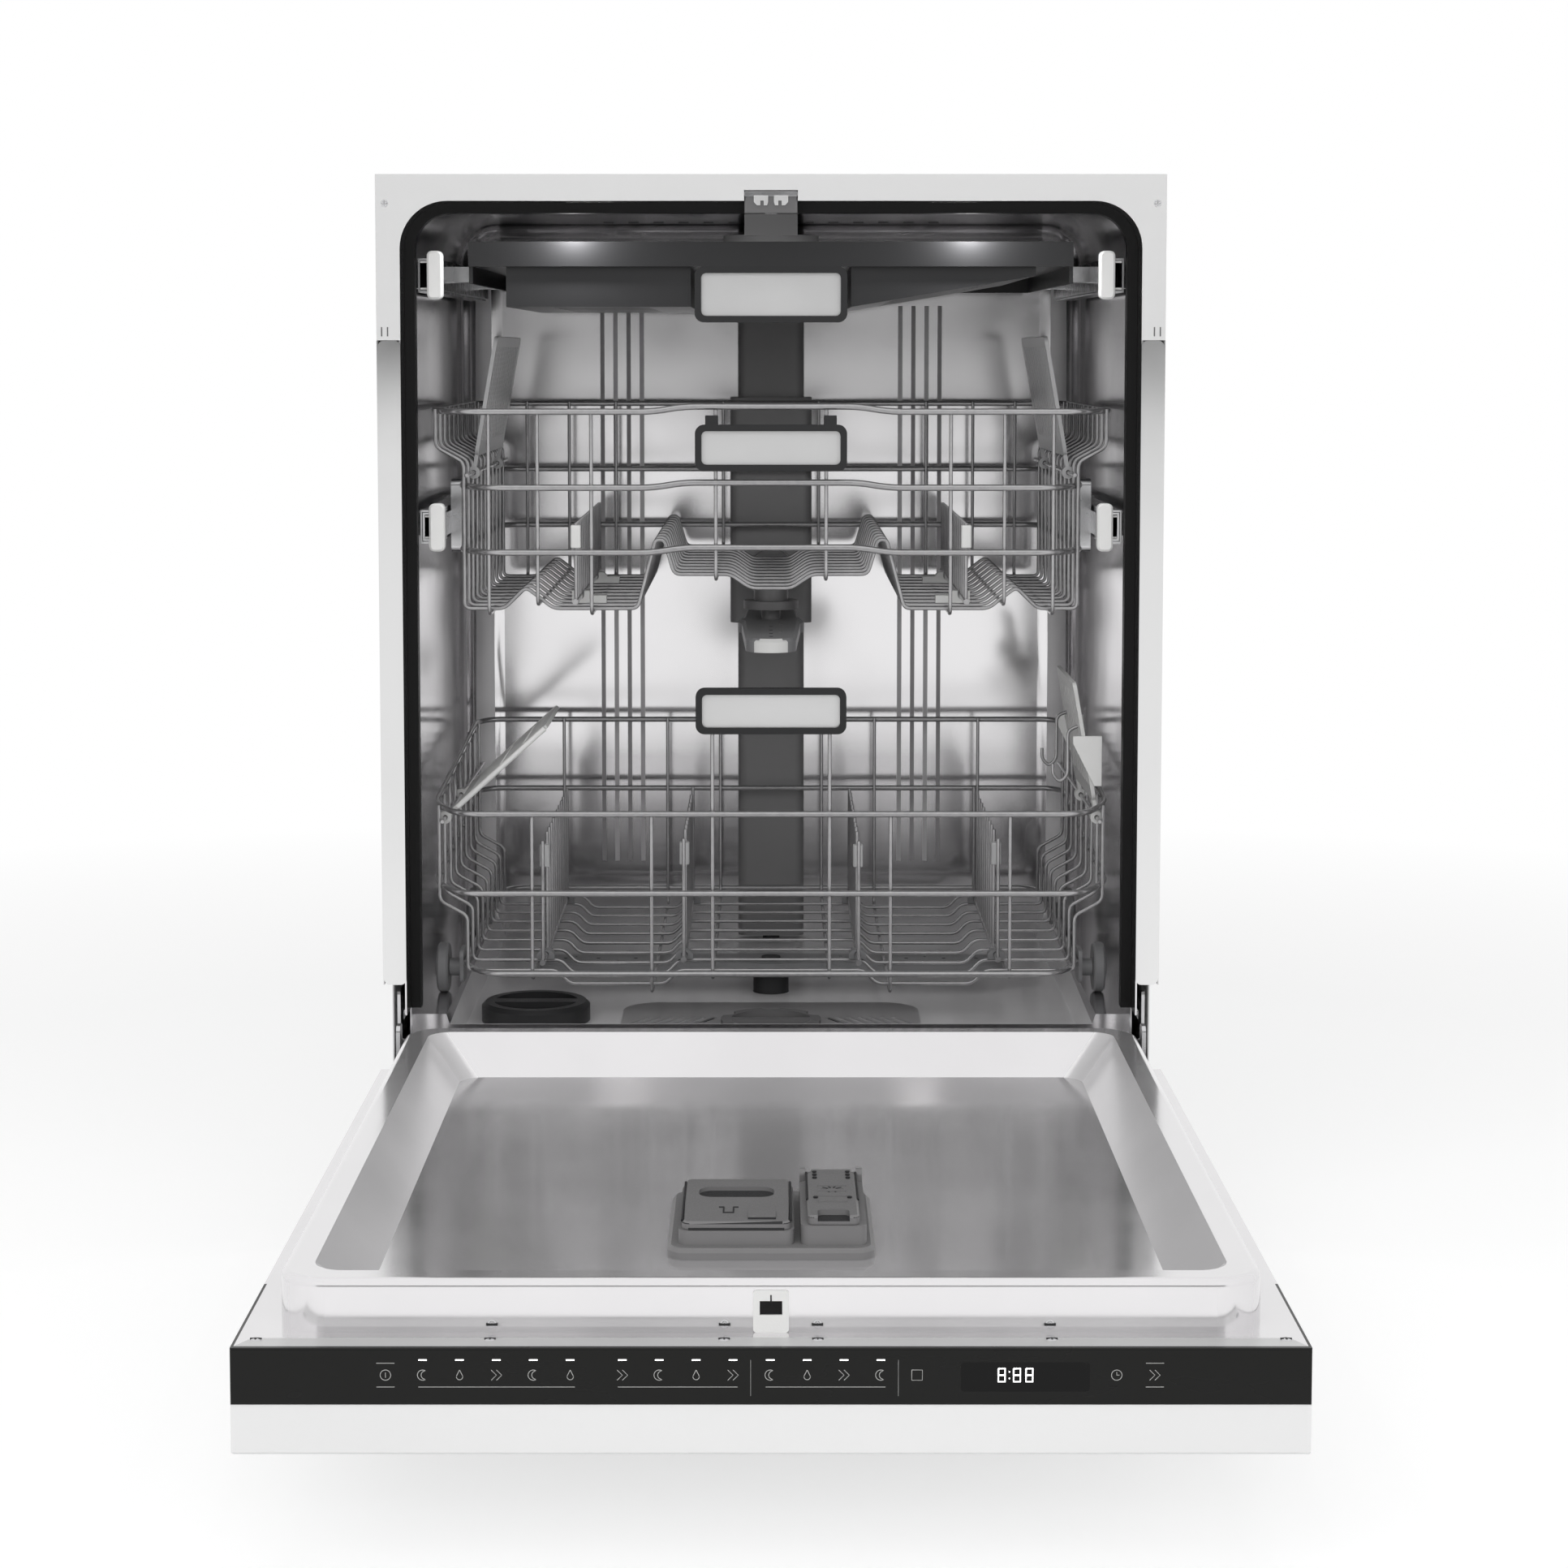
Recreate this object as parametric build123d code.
# Built-in dishwasher, shown with its door open and its three racks pushed in.
# Millimetres. X runs to the right, Y into the machine and Z up.
# The origin is on the floor, under the middle of the cabinet's front plane.
from build123d import *
import os

# Cabinet shell
cabinet_width = 598.0
cabinet_height = 820.0
cabinet_depth = 519.0
sheet = 1.0
frame_sheet = 1.5
side_band = 18.0
top_band = 20.0
top_frame_drop = 125.0
top_return = 70.0
strip_bottom = 200.0
panel_bottom = 30.0
toe_setback = 60.0
sheet_fold = 14.0
cover_lap = 30.0
worktop_hole = 2.75
worktop_spacing = 100.0
butt_gap = 0.2

# Base and feet
base_front = 24.0
base_bottom = 12.0
base_top = 118.0
base_wall = 3.0
foot_radius = 19.0
foot_inset = 44.0
foot_front = 42.0
foot_rear_gap = 34.0
foot_stud = 5.0
foot_stud_length = 48.0
foot_boss = 12.0
post_front = 72.0
post_rear_gap = 45.0
anchor_width = 10.0

# Tub
tub_wall = 1.2
tub_floor = 145.0
tub_back_gap = 29.0
tub_corner = 36.0
roll_level = 170.0
ledge_width = 35.0
ledge_slope = 8.0
sill_front = 34.0
sill_top = 162.0
mouth_bottom = 176.0
rib_width = 16.0
rib_height = 2.5
rib_places = (124.0, 148.0)

# Door seal, lamps and latch
seal_width = 8.0
seal_depth = 13.0
seal_gap = 1.0
fit_gap = 0.1
lamp_place = 140.0
lamp_length = 36.0
lamp_width = 12.0
lamp_drop = 5.5
lamp_front = 48.0
lamp_corner = 3.0
latch_half = 20.0
latch_drop = 9.0
latch_rise = 8.0
latch_depth = 26.0
bolt_half = 4.5
bolt_depth = 5.0

# Door
pivot_y = -12.0
pivot_z = 129.0
door_gap = 1.0
door_top_gap = 3.0
door_side_gap = 1.0
door_shell = 32.0
door_sheet = 1.0
hinge_room = 14.0
panel_face = 4.0
panel_return = 120.0
panel_wrap = 1.5
decor_thickness = 28.5
decor_setback = 1.0
decor_rear = 2.0
rim_gap = 12.0
rim_width = 18.0
liner_side_gap = 3.5
liner_sheet = 1.0
liner_corner = 28.0
rim_round = 5.0
pan_corner = 18.0
pan_depth = 29.0
pan_slope = 26.0
flange_hole = 3.0
flange_hole_places = (26.0, 156.0, 286.0)
hinge_slot_play = 2.0
hinge_slot_depth = 5.0
slot_width = 12.6
slot_height = 8.0
slot_offset = 10.0
latch_plate_width = 20.0
latch_plate_thickness = 1.0
display_width = 71.0
display_height = 16.5
display_place = 140.0
display_glass = 1.0

# Door hinges and springs
pin_radius = 5.0
pin_play = 0.08
hinge_ear = 11.0
hinge_plate = 2.5
bracket_tail = 120.0
bracket_top_gap = 6.0
bracket_drop = 45.0
bracket_corner = 8.0
bracket_neck = 0.8
bracket_slots = 3
bracket_slot = (18.0, 7.0)
bracket_slot_pitch = 26.0
bracket_slot_place = (22.0, 28.0)
bracket_window = (52.0, 12.0)
bracket_block_gap = 10.0
arm_plate = 3.0
arm_gap = 1.8
plate_gap = 2.0
arm_reach = 190.0
arm_height = 22.0
lever_height = 43.0
lever_part = 0.7
spring_anchor_y = 325.0
spring_anchor_z = 64.0
spring_rod = 1.6
spring_radius = 8.5
spring_start = 0.44

# Detergent dispenser
dispenser_half = 63.0
dispenser_front = 164.0
dispenser_length = 134.0
dispenser_base = 7.0
dispenser_well = 25.0
dispenser_lip = 10.0
lid_split = 14.0
lid_height = 9.0
lid_thickness = 4.7
flap_height = 12.0
flap_thickness = 5.5
flap_pin = 3.0
cup_depth = 27.0
dispenser_corner = 12.0
dispenser_bevel = 2.5
seat_corner = 6.0
seat_side = 7.0
seat_near = 8.0
seat_back = 22.0
seat_split = 4.0
lid_play = 2.0
lid_round = 1.5
lid_grip = (24.0, 2.5)
cup_border = 9.0
cup_corner = 10.0
flap_back = 17.0
flap_lift = 3.0
flap_ear = 4.0
flap_bore = 1.5
flap_grip = (18.0, 6.0)
flap_rib = (3.0, 1.0)
flap_rib_count = 4
flap_rib_pitch = 12.0
flap_rib_first = 30.0
running_gap = 0.3

# Sump, filters and wash plumbing
sump_y = 100.0
sump_radius = 62.0
sump_wall = 4.0
sump_bottom = 70.0
stub_lift = 8.0
duct_lift = 5.0
spindle_rise = 2.0
filter_y = 85.0
filter_radius = 40.0
filter_depth = 62.0
filter_plate_half = 121.0
filter_plate_front = 42.0
filter_plate_length = 150.0
filter_sheet = 1.2
filter_corner = 30.0
filter_lip = 4.0
filter_wall = 4.0
filter_slot = (4.0, 36.0)
filter_slot_count = 7
filter_slot_gap = 14.0
filter_slot_pitch = 9.0
filter_slot_turn = 30.0
filter_grip_half = 4.0
scoop_count = 6
scoop_radius = 9.0
scoop_out = 3.0
filter_grip = 9.5
arm_y = 245.0
pillar_radius = 15.0
spindle_radius = 8.0
channel_half = 18.0
channel_height = 20.0
channel_bottom = 104.0
pump_x = 95.0
pump_radius = 46.0
pump_length = 160.0
pump_front = 172.0
volute_radius = 50.0
volute_length = 38.0
pipe_radius = 13.0
stub_end = 70.0
drain_radius = 22.0
drain_length = 50.0
drain_pipe = 8.0
drain_spigot = 9.5
softener_side_gap = 39.5
softener_pump_gap = 2.5
salt_y = 130.0
salt_cap_radius = 44.0
salt_cap_height = 15.7
salt_neck = 33.0
salt_cap_web = 9.0
salt_cap_rim = 10.0
salt_grip_half = 7.0
softener_length = 165.0
softener_offset = 15.0
softener_corner = 18.0
neck_wall = 7.0
valve_side_gap = 94.0
valve_size = 50.0
valve_round = 5.0
spigot_wall = 4.0
valve_spigot = 13.2
spigot_length = 18.0
nut_room = 6.0
spigot_z = 55.0

# Lower spray arm
lower_arm_bottom = 163.5
lower_arm_height = 9.5
lower_arm_reach = 198.0
arm_width = 50.0
arm_tip_width = 40.0
nozzle_radius = 1.6
nozzle_count = 4
nozzle_first = 0.3
nozzle_step = 0.18
hub_extra = 3.0

# Wash water duct on the rear wall
duct_half = 30.0
duct_depth = 18.0
dock_half = 37.0
dock_below = 47.0
dock_above = 158.0
dock_ring = 22.0
ceiling_duct_half = 22.0
ceiling_duct_depth = 18.0
shower_radius = 40.0
shower_drop = 8.0
shower_holes = 8
shower_hole_ring = 0.7
duct_corner = 8.0
dock_depth = 6.0
ring_depth = 12.0
ring_wall = 6.0

# Wires
rim_wire = 5.0
basket_wire = 3.0
tine_wire = 3.0
rod_radius = 2.4
rod_flat = 1.6
hinge_wire_end = 6.0
weld_gap = 0.15
hex_corner = 1.155
clip_length = 10.0
clip_half = 7.0
clip_web = 1.2
clip_bevel = 3.0

# Lower rack
rack_side_gap = 14.0
foot_side_gap = 36.0
rack_front = 52.0
rack_back_gap = 38.0
front_chamfer = (22.0, 40.0)
back_chamfer = (14.0, 14.0)
lower_rims = (198.0, 262.0, 325.0)
lower_rise = 28.0
lower_joggle = 252.0
joggle_drop = 12.0
lower_floor = 185.2
lower_step = 10.8
well_edges = (74.0, 84.0, 160.0, 170.0)
lower_long_places = (46.0, 94.0, 188.0)
lower_cross_count = 9
lower_cross_first = 78.0
lower_cross_margin = 30.0
lower_rows = (-182.0, -70.0, 70.0, 182.0)
lower_tine_height = 95.0
lower_tine_pitch = 25.0
wheel_radius = 20.0
wheel_width = 9.0
wheel_places = (121.0, 379.0)
axle_radius = 4.0
wheel_side_gap = 4.0
wheel_bevel = 1.5
wheel_recess = 2.0
wheel_tread = 4.0
wheel_hub = 4.0
carrier_half = 14.0
carrier_below = 11.0
carrier_above = 8.0
carrier_corner = 5.0
carrier_plate = 3.0
axle_collar = 3.0
axle_head = 2.0
lower_hinge_z = 316.0

# Rack handles
handle_width = 118.0
handle_height = 36.0
handle_depth = 8.0
handle_border = 5.0
handle_plate = 1.5
handle_corner = 7.0
handle_inner_corner = 4.0
handle_lug = 10.0
handle_lug_inset = 8.0
lower_handle_share = 0.39375
upper_handle_height = 109.0
tray_handle_height = 43.0

# Upper rack
upper_rack_drop = 315.0
upper_rim_heights = (45.5, 96.0, 155.0)
upper_flare_height = 115.0
upper_wave = (
    (16.0, 16.0),
    (32.0, 27.0),
    (76.0, 27.0),
    (84.0, 54.0),
    (91.0, 54.0),
    (105.0, 0.0),
    (171.0, 0.0),
    (193.0, 17.0),
    (210.0, 0.0),
)
upper_slopes = (182.0,)
slope_drop = 1.4
upper_long_places = (43.0, 140.0, 182.0, 220.0)
upper_cross_count = 11
upper_cross_first = 76.0
upper_cross_margin = 16.0
upper_row = 154.0
upper_tine_height = 60.0
upper_hinge_height = 105.0
upper_arm_y = 262.0
upper_arm_drop = 24.0
upper_arm_height = 11.0
upper_arm_reach = 190.0
feed_pipe_radius = 10.5
feed_pipe_lift = 2.0
feed_spout_drop = 15.0
feed_flange = 14.0
feed_spout_wall = 4.0
feed_collar = 7.0
feed_post = (6.0, 5.0)
feed_post_index = (6, 9)

# Fold-down shelves
lower_shelf_share = 0.65
cup_shelf_share = 0.84
shelf_start = 14.0
shelf_thickness = 3.0
shelf_lift = -1.5
shelf_ring = 5.0
shelf_ring_play = 0.3
shelf_lug = 8.0
shelf_slot = 5.0
lower_shelf_tilt = 42.0
folded_tilt = 80.0
lower_shelf_index = (0, 3)
cup_shelf_index = (1, 7)
shelf_corner = 6.0
shelf_slot_start = 12.0
shelf_border = 8.0

# Telescopic rails
rail_seal_gap = 1.0
rail_depth = 14.0
rail_height = 26.0
rail_wall = 1.5
rail_play = 0.5
rail_front = 44.0
rail_back_gap = 22.0
upper_rail_height = 66.0
rail_cap_height = 37.0
rail_cap_depth = 10.0
rail_cap_half = 6.0
rail_cap_corner = 4.0
rail_cap_gap = 2.0
rail_cap_bevel = 1.5
rail_foot_length = 30.0
rail_foot_half = 9.0
rail_foot_ends = (40.0, 70.0)
carrier_length = 50.0
carrier_ends = (70.0, 90.0)
carrier_lap = 4.0
hanger_length = 40.0
hanger_ends = (50.0, 90.0)
hanger_drop = 4.0
hanger_rise = 8.0

# Cutlery tray
tray_top_gap = 29.0
tray_bar = 19.0
tray_side_gap = 47.5
tray_front = 48.0
tray_back_gap = 46.0
tray_wall = 3.0
tray_floor = 2.5
tray_bay_start = 62.0
tray_bay_inset = 28.5
tray_bay_drop = 31.0
tray_bay_rise = 24.0
tray_skirt = 6.0
tray_slot = (76.0, 18.0)
tray_slot_rows = 6
tray_slot_margin = 50.0

# Derived places
half = cabinet_width / 2
tub_half = half - side_band
tub_ceiling = cabinet_height - top_band
tub_back = cabinet_depth - tub_back_gap
flange_z = pivot_z - pivot_y - door_gap
door_half = half - door_side_gap
door_front = pivot_y - (cabinet_height - door_top_gap - pivot_z)
door_rear = pivot_y - hinge_room
door_bottom = flange_z - door_shell
shell_front = door_front + panel_face
liner_front = pivot_y - (tub_ceiling - rim_gap - pivot_z)
liner_rear = pivot_y - door_gap
liner_half = tub_half - liner_side_gap
pan_floor = roll_level - pan_depth
rim_reach = pivot_y + roll_level - pivot_z
seal_front = rim_reach + seal_gap
foot_x = half - foot_inset
rack_half = tub_half - rack_side_gap
rack_foot_half = tub_half - foot_side_gap
cross_inset = (rim_wire + basket_wire) / 2
lower_raised = lower_floor + lower_step
wheel_z = roll_level + running_gap + wheel_radius
wheel_outer = tub_half - seal_width - wheel_side_gap
wheel_inner = wheel_outer - wheel_width
rail_back = tub_half - seal_width - rail_seal_gap
rail_open = rail_back - rail_depth
foot_rear = cabinet_depth - foot_rear_gap
post_rear = foot_rear - post_rear_gap
rack_back = tub_back - rack_back_gap
lower_cross_room = rack_back - lower_cross_margin - lower_cross_first
lower_cross_pitch = lower_cross_room / (lower_cross_count - 1)
upper_cross_room = rack_back - upper_cross_margin - upper_cross_first
upper_cross_pitch = upper_cross_room / (upper_cross_count - 1)
rail_length = tub_back - rail_back_gap - rail_front
upper_floor = tub_ceiling - upper_rack_drop
upper_rims = tuple(upper_floor + height for height in upper_rim_heights)
upper_flare = upper_floor + upper_flare_height
upper_hinge_z = upper_floor + upper_hinge_height
upper_handle_z = upper_floor + upper_handle_height
upper_rail_z = upper_floor + upper_rail_height
upper_arm_top = upper_floor - upper_arm_drop
feed_pipe_z = upper_floor + feed_pipe_lift
feed_spout_bottom = upper_floor - feed_spout_drop
dock_bottom = feed_pipe_z - dock_below
dock_top = feed_pipe_z + dock_above
lower_handle_z = lower_rims[2] + lower_handle_share * (upper_floor - lower_rims[2])
lower_shelf_reach = lower_shelf_share * (upper_floor - lower_hinge_z)
valve_x = half - valve_side_gap
upper_tine_pitch = upper_cross_pitch / 2
softener_left = softener_side_gap - half
softener_right = -stub_end - drain_length - softener_pump_gap
salt_x = (softener_left + softener_right) / 2
tray_half = tub_half - tray_side_gap
tray_length = tub_back - tray_back_gap - tray_front
tray_bay = (tray_bay_start, tray_half - tray_bay_inset)
stub_z = sump_bottom + pipe_radius + stub_lift
duct_base = tub_floor + duct_lift
tray_top = tub_ceiling - tray_top_gap
tray_base = tray_top - tray_bar
tray_rail_z = tray_top - rail_height
cup_shelf_reach = cup_shelf_share * (tray_base - tray_bay_drop - upper_hinge_z)
dispenser_back = door_front + dispenser_front + dispenser_length
dispenser_near = door_front + dispenser_front


def block(x0, x1, y0, y1, z0, z1):
    """Box between two corners."""
    middle = Pos((x0 + x1) / 2, (y0 + y1) / 2, (z0 + z1) / 2)
    return middle * Box(x1 - x0, y1 - y0, z1 - z0)


def upright(x, y, z0, z1, radius):
    """Round bar that stands up."""
    return Pos(x, y, (z0 + z1) / 2) * Cylinder(radius, z1 - z0)


def bar_x(x0, x1, y, z, radius):
    """Round bar that runs sideways."""
    return Pos((x0 + x1) / 2, y, z) * Rot(0, 90, 0) * Cylinder(radius, x1 - x0)


def bar_y(x, y0, y1, z, radius):
    """Round bar that runs front to back."""
    return Pos(x, (y0 + y1) / 2, z) * Rot(90, 0, 0) * Cylinder(radius, y1 - y0)


def slab_x(outline, x0, x1):
    """Extrude an outline drawn in Y and Z along X."""
    side = Plane(origin=(x0, 0, 0), x_dir=(0, 1, 0), z_dir=(1, 0, 0))
    return extrude(side * outline, amount=x1 - x0)


def slab_y(outline, y0, y1):
    """Extrude an outline drawn in X and Z along Y."""
    front = Plane(origin=(0, y0, 0), x_dir=(1, 0, 0), z_dir=(0, -1, 0))
    return extrude(front * outline, amount=y0 - y1)


def slab_z(outline, z0, z1):
    """Extrude an outline drawn in X and Y upwards."""
    return extrude(Plane(origin=(0, 0, z0)) * outline, amount=z1 - z0)


def polygon(*points):
    """Flat face with straight sides."""
    return make_face(Polyline(*points, close=True))


def rounded(x0, x1, y0, y1, radius):
    """Flat rectangle with round corners."""
    return Pos((x0 + x1) / 2, (y0 + y1) / 2) * RectangleRounded(x1 - x0, y1 - y0, radius)


def arch(half_width, bottom, top, radius):
    """Flat rectangle whose two upper corners are round."""
    face = Pos(0, (bottom + top) / 2) * Rectangle(2 * half_width, top - bottom)
    return fillet(face.vertices().group_by(Axis.Y)[-1], radius)


def mirrored(shape):
    """The same shape on the other side of the machine."""
    return mirror(shape, about=Plane.YZ)


def both(shape):
    """A left and a right copy."""
    return [shape, mirrored(shape)]


def wire(points, size):
    """Bent wire with mitred bends. Its flats face the inside and outside of each bend."""
    stops = [Vector(*point) for point in points]
    ahead = (stops[1] - stops[0]).normalized()
    normal = Vector(0, 0, 1) if abs(ahead.Z) < 0.5 else Vector(0, 1, 0)
    for before, here, after in zip(stops, stops[1:], stops[2:]):
        turn = (here - before).cross(after - here)
        if turn.length > 1:
            normal = turn.normalized()
            break
    start = Plane(origin=stops[0], x_dir=normal, z_dir=ahead)
    section = start * RegularPolygon(size / 2, 6, major_radius=False)
    return sweep(section, path=Polyline(*points), transition=Transition.RIGHT)


# Cabinet


def base_tray():
    side = half - sheet - butt_gap
    rear = cabinet_depth - 2 * sheet
    outer = block(-side, side, base_front, rear, base_bottom, base_top)
    inner = block(
        base_wall - side,
        side - base_wall,
        base_front + base_wall,
        rear - base_wall,
        base_bottom + base_wall,
        base_top + 1,
    )
    tray = outer - inner
    boss_top = base_bottom + foot_stud_length + base_wall
    for x in (-foot_x, foot_x):
        for y in (foot_front, foot_rear):
            tray += upright(x, y, base_bottom, boss_top, foot_boss)
            tray -= upright(x, y, base_bottom - 1, boss_top + 1, foot_stud + running_gap)
    post = foot_boss
    under_tub = tub_floor - tub_wall
    seat_x = tub_half - ledge_width - 2 * post
    for x, y in ((seat_x, post_front), (seat_x, post_rear), (-seat_x, post_rear)):
        tray += block(x - post, x + post, y - post, y + post, base_bottom, under_tub)
    anchor = block(
        side - base_wall - 2 * spring_radius - 1,
        side - base_wall,
        spring_anchor_y,
        spring_anchor_y + anchor_width,
        base_bottom,
        spring_anchor_z + spring_radius,
    )
    tray += both(anchor)
    drain_x = -stub_end - drain_length / 2
    for x, radius in ((valve_x, valve_spigot), (drain_x, drain_spigot)):
        tray -= bar_y(x, rear - 2 * base_wall, rear + 1, spigot_z, radius + nut_room)
    return tray


def levelling_feet():
    foot = upright(0, 0, 0, base_bottom, foot_radius)
    foot = chamfer(foot.edges().group_by(Axis.Z)[-1], base_bottom / 3)
    foot += upright(0, 0, base_bottom, base_bottom + foot_stud_length, foot_stud)
    return [Pos(x, y) * foot for x in (-foot_x, foot_x) for y in (foot_front, foot_rear)]


def rounded_tub(grow):
    """Tub body with its upper and rear corners round, larger all round by grow."""
    side = tub_half + grow
    body = block(-side, side, frame_sheet, tub_back + grow, tub_floor - grow, tub_ceiling + grow)
    along = body.edges().filter_by(Axis.Y).group_by(Axis.Z)[-1]
    standing = body.edges().filter_by(Axis.Z).group_by(Axis.Y)[-1]
    across = body.edges().filter_by(Axis.X).group_by(Axis.Y)[-1].sort_by(Axis.Z)[-1:]
    return fillet(along + standing + across, tub_corner + grow)


def tub():
    outer = rounded_tub(tub_wall)
    shell = outer - rounded_tub(0)
    foot = tub_half - ledge_width
    ledge = polygon(
        (foot, tub_floor),
        (foot + ledge_slope, roll_level),
        (tub_half, roll_level),
        (tub_half, tub_floor),
    )
    hollow = polygon(
        (foot + tub_wall, tub_floor - 2 * tub_wall),
        (foot + tub_wall, tub_floor),
        (foot + ledge_slope + tub_wall, roll_level - tub_wall),
        (tub_half, roll_level - tub_wall),
        (tub_half, tub_floor - 2 * tub_wall),
    )
    bench = slab_y(ledge, sill_front, tub_back) & outer
    gap = slab_y(hollow, sill_front + tub_wall, tub_back - tub_corner)
    for part in both(bench):
        shell += part
    for part in both(gap):
        shell -= part
    shell -= block(-half, half, 0, sill_front, 0, mouth_bottom)
    shell += block(-tub_half, tub_half, sill_front, sill_front + tub_wall, base_top, sill_top)
    rib_top = tub_ceiling - 2 * tub_corner
    for place in rib_places:
        for x in (-place, place):
            rib = polygon(
                (x - rib_width / 2, tub_back),
                (x - rib_width / 4, tub_back - rib_height),
                (x + rib_width / 4, tub_back - rib_height),
                (x + rib_width / 2, tub_back),
            )
            shell += slab_z(rib, tub_floor + 2 * tub_corner, rib_top)
    below = tub_floor - 2 * tub_wall
    above = tub_floor + 1
    shell -= upright(0, sump_y, below, above, sump_radius - sump_wall)
    shell -= upright(0, arm_y, below, above, pillar_radius + running_gap)
    shell -= upright(0, tub_back - duct_depth / 2, below, above, duct_depth / 2 - 1)
    shell -= upright(salt_x, salt_y, below, above, salt_neck + 2)
    notch = latch_half + running_gap
    shell -= block(-notch, notch, 0, latch_depth + frame_sheet, tub_ceiling - 1, tub_ceiling + 2)
    return shell


def tub_seal():
    outer = arch(tub_half - fit_gap, mouth_bottom, tub_ceiling - fit_gap, tub_corner - fit_gap)
    inner = arch(
        tub_half - seal_width,
        mouth_bottom - 1,
        tub_ceiling - seal_width,
        tub_corner - seal_width,
    )
    seal = slab_y(outer, seal_front, seal_front + seal_depth)
    seal -= slab_y(inner, seal_front - 1, seal_front + seal_depth + 1)
    return seal


def top_frame():
    plate = Pos(0, cabinet_height - top_frame_drop / 2) * Rectangle(cabinet_width, top_frame_drop)
    mouth = arch(tub_half, cabinet_height - 2 * top_frame_drop, tub_ceiling, tub_corner)
    frame = slab_y(plate, 0, frame_sheet) - slab_y(mouth, -1, frame_sheet + 1)
    notch = latch_half + running_gap
    frame -= block(-notch, notch, -1, frame_sheet + 1, tub_ceiling - 1, tub_ceiling + latch_rise)
    top = cabinet_height - frame_sheet
    frame += block(-half, half, frame_sheet, top_return, top, cabinet_height)
    for x in (-worktop_spacing / 2, worktop_spacing / 2):
        frame -= upright(x, top_return / 2, top - 1, cabinet_height + 1, worktop_hole)
    return frame


def side_panel():
    """Right-hand side sheet with its polished front strip."""
    strip_top = cabinet_height - top_frame_drop - butt_gap
    top = cabinet_height - frame_sheet
    rear = cabinet_depth - sheet
    outline = polygon(
        (0, strip_bottom),
        (0, strip_top),
        (frame_sheet, strip_top),
        (frame_sheet, top),
        (rear, top),
        (rear, panel_bottom),
        (toe_setback, panel_bottom),
        (toe_setback, strip_bottom),
    )
    panel = slab_x(outline, half - sheet, half)
    strip = slab_y(
        rounded(tub_half, half - sheet, strip_bottom, strip_top, side_band / 4), 0, sheet
    )
    fold = block(
        half - sheet - sheet_fold,
        half - sheet,
        rear - sheet,
        rear,
        base_top,
        top - sheet,
    )
    return panel + strip + fold


def rear_panel():
    top = cabinet_height - frame_sheet - sheet
    side = half - sheet
    return block(-side, side, cabinet_depth - sheet, cabinet_depth, base_top, top)


def top_cover():
    top = cabinet_height - frame_sheet
    side = half - sheet
    return block(-side, side, top_return - cover_lap, cabinet_depth, top - sheet, top)


def latch_housing():
    body = block(
        -latch_half,
        latch_half,
        frame_sheet / 2,
        latch_depth,
        tub_ceiling - latch_drop,
        tub_ceiling + latch_rise - running_gap,
    )
    body = fillet(body.edges().filter_by(Axis.Z), 2)
    bolt_y = slot_closed_y()
    bolt_room = block(
        -bolt_half - running_gap,
        bolt_half + running_gap,
        bolt_y - bolt_depth / 2 - running_gap,
        bolt_y + bolt_depth / 2 + running_gap,
        tub_ceiling - latch_drop - 1,
        tub_ceiling + latch_rise / 2,
    )
    return body - bolt_room


def slot_closed_y():
    """Depth at which the door's latch slot stands when the door is shut."""
    return pivot_y + (flange_z + slot_offset + slot_height / 2) - pivot_z


def latch_bolt():
    bolt_y = slot_closed_y()
    bottom = tub_ceiling - latch_drop - running_gap
    top = tub_ceiling + latch_rise / 2 - running_gap
    bolt = block(
        -bolt_half, bolt_half, bolt_y - bolt_depth / 2, bolt_y + bolt_depth / 2, bottom, top
    )
    return chamfer(bolt.edges().group_by(Axis.Z)[0].filter_by(Axis.X), 1.5)


def interior_lamps():
    lamp = rounded(
        lamp_place - lamp_length / 2,
        lamp_place + lamp_length / 2,
        lamp_front,
        lamp_front + lamp_width,
        lamp_corner,
    )
    return both(slab_z(lamp, tub_ceiling - lamp_drop, tub_ceiling))


# Sump, pumps and water paths


def sump():
    top = tub_floor - tub_wall
    bowl = upright(0, sump_y, sump_bottom, top, sump_radius)
    channel_top = channel_bottom + channel_height
    duct_y = tub_back - duct_depth / 2
    bowl += block(-channel_half, channel_half, sump_y, duct_y + 10, channel_bottom, channel_top)
    bowl += upright(0, arm_y, channel_bottom, lower_arm_bottom - running_gap, pillar_radius)
    bowl += upright(0, duct_y, channel_bottom, duct_base, duct_depth / 2 - 1 - running_gap)
    bowl += bar_x(-stub_end, stub_end, sump_y, stub_z, pipe_radius)
    spindle_top = lower_arm_bottom + lower_arm_height + spindle_rise
    bowl += upright(0, arm_y, lower_arm_bottom - spindle_rise, spindle_top, spindle_radius)
    hollow = upright(0, sump_y, sump_bottom + sump_wall, top + 1, sump_radius - sump_wall)
    return bowl - hollow


def circulation_pump():
    z = stub_z
    pump = bar_y(pump_x, pump_front, pump_front + volute_length, z, volute_radius)
    pump += bar_y(pump_x, pump_front, pump_front + pump_length, z, pump_radius)
    pump += bar_y(pump_x, sump_y, pump_front + 1, z, pipe_radius)
    pump += Pos(pump_x, sump_y, z) * Sphere(pipe_radius)
    pump += bar_x(stub_end, pump_x, sump_y, z, pipe_radius)
    outlet_z = channel_bottom + channel_height / 2
    outlet_y = pump_front + volute_length / 2
    pump += bar_x(channel_half, pump_x, outlet_y, outlet_z, channel_height / 2 - 1)
    return pump


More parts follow.
